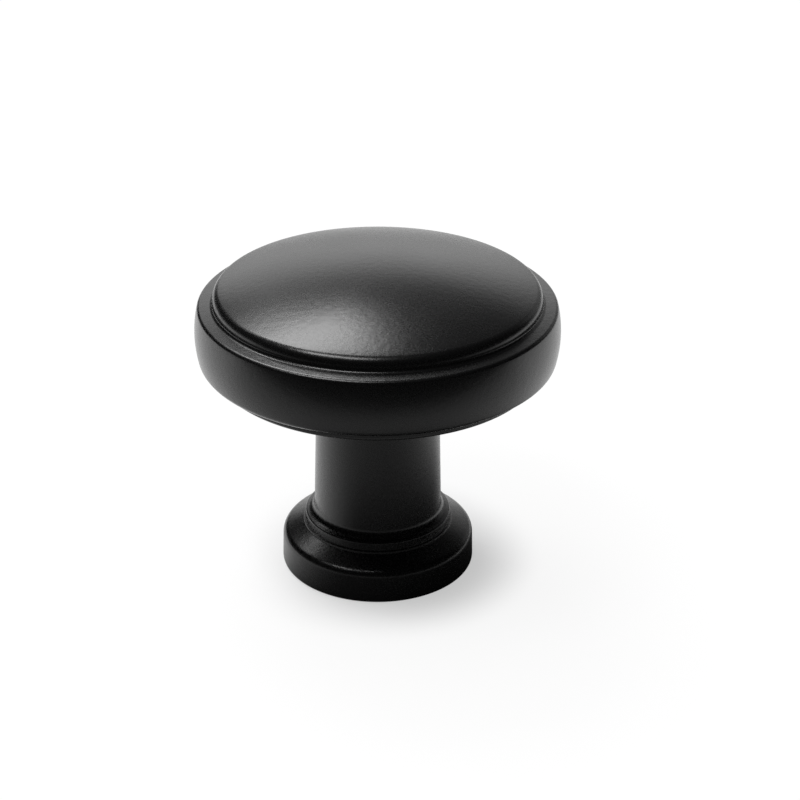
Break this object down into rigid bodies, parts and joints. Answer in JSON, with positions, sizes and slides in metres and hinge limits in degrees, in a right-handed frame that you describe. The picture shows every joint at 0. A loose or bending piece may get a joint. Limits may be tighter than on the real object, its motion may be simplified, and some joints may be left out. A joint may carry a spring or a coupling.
{
  "type": "cabinet knob",
  "caption": "Round cabinet knob with a stepped, domed head on a plain stem and a collared base, fixed from behind by one screw.",
  "frame": {"origin": "centre of the flat mounting face under the base", "axes": "+Z out of the door or drawer front, up the stem to the domed head; the knob is round about Z, so X and Y are alike"},
  "size_m": [0.035, 0.035, 0.0317],
  "materials": {
    "black_coating": "satin black powder coating over die-cast metal, with a very fine even texture"
  },
  "bodies": {
    "root": {"knob": "black_coating"}
  },
  "joints": []
}
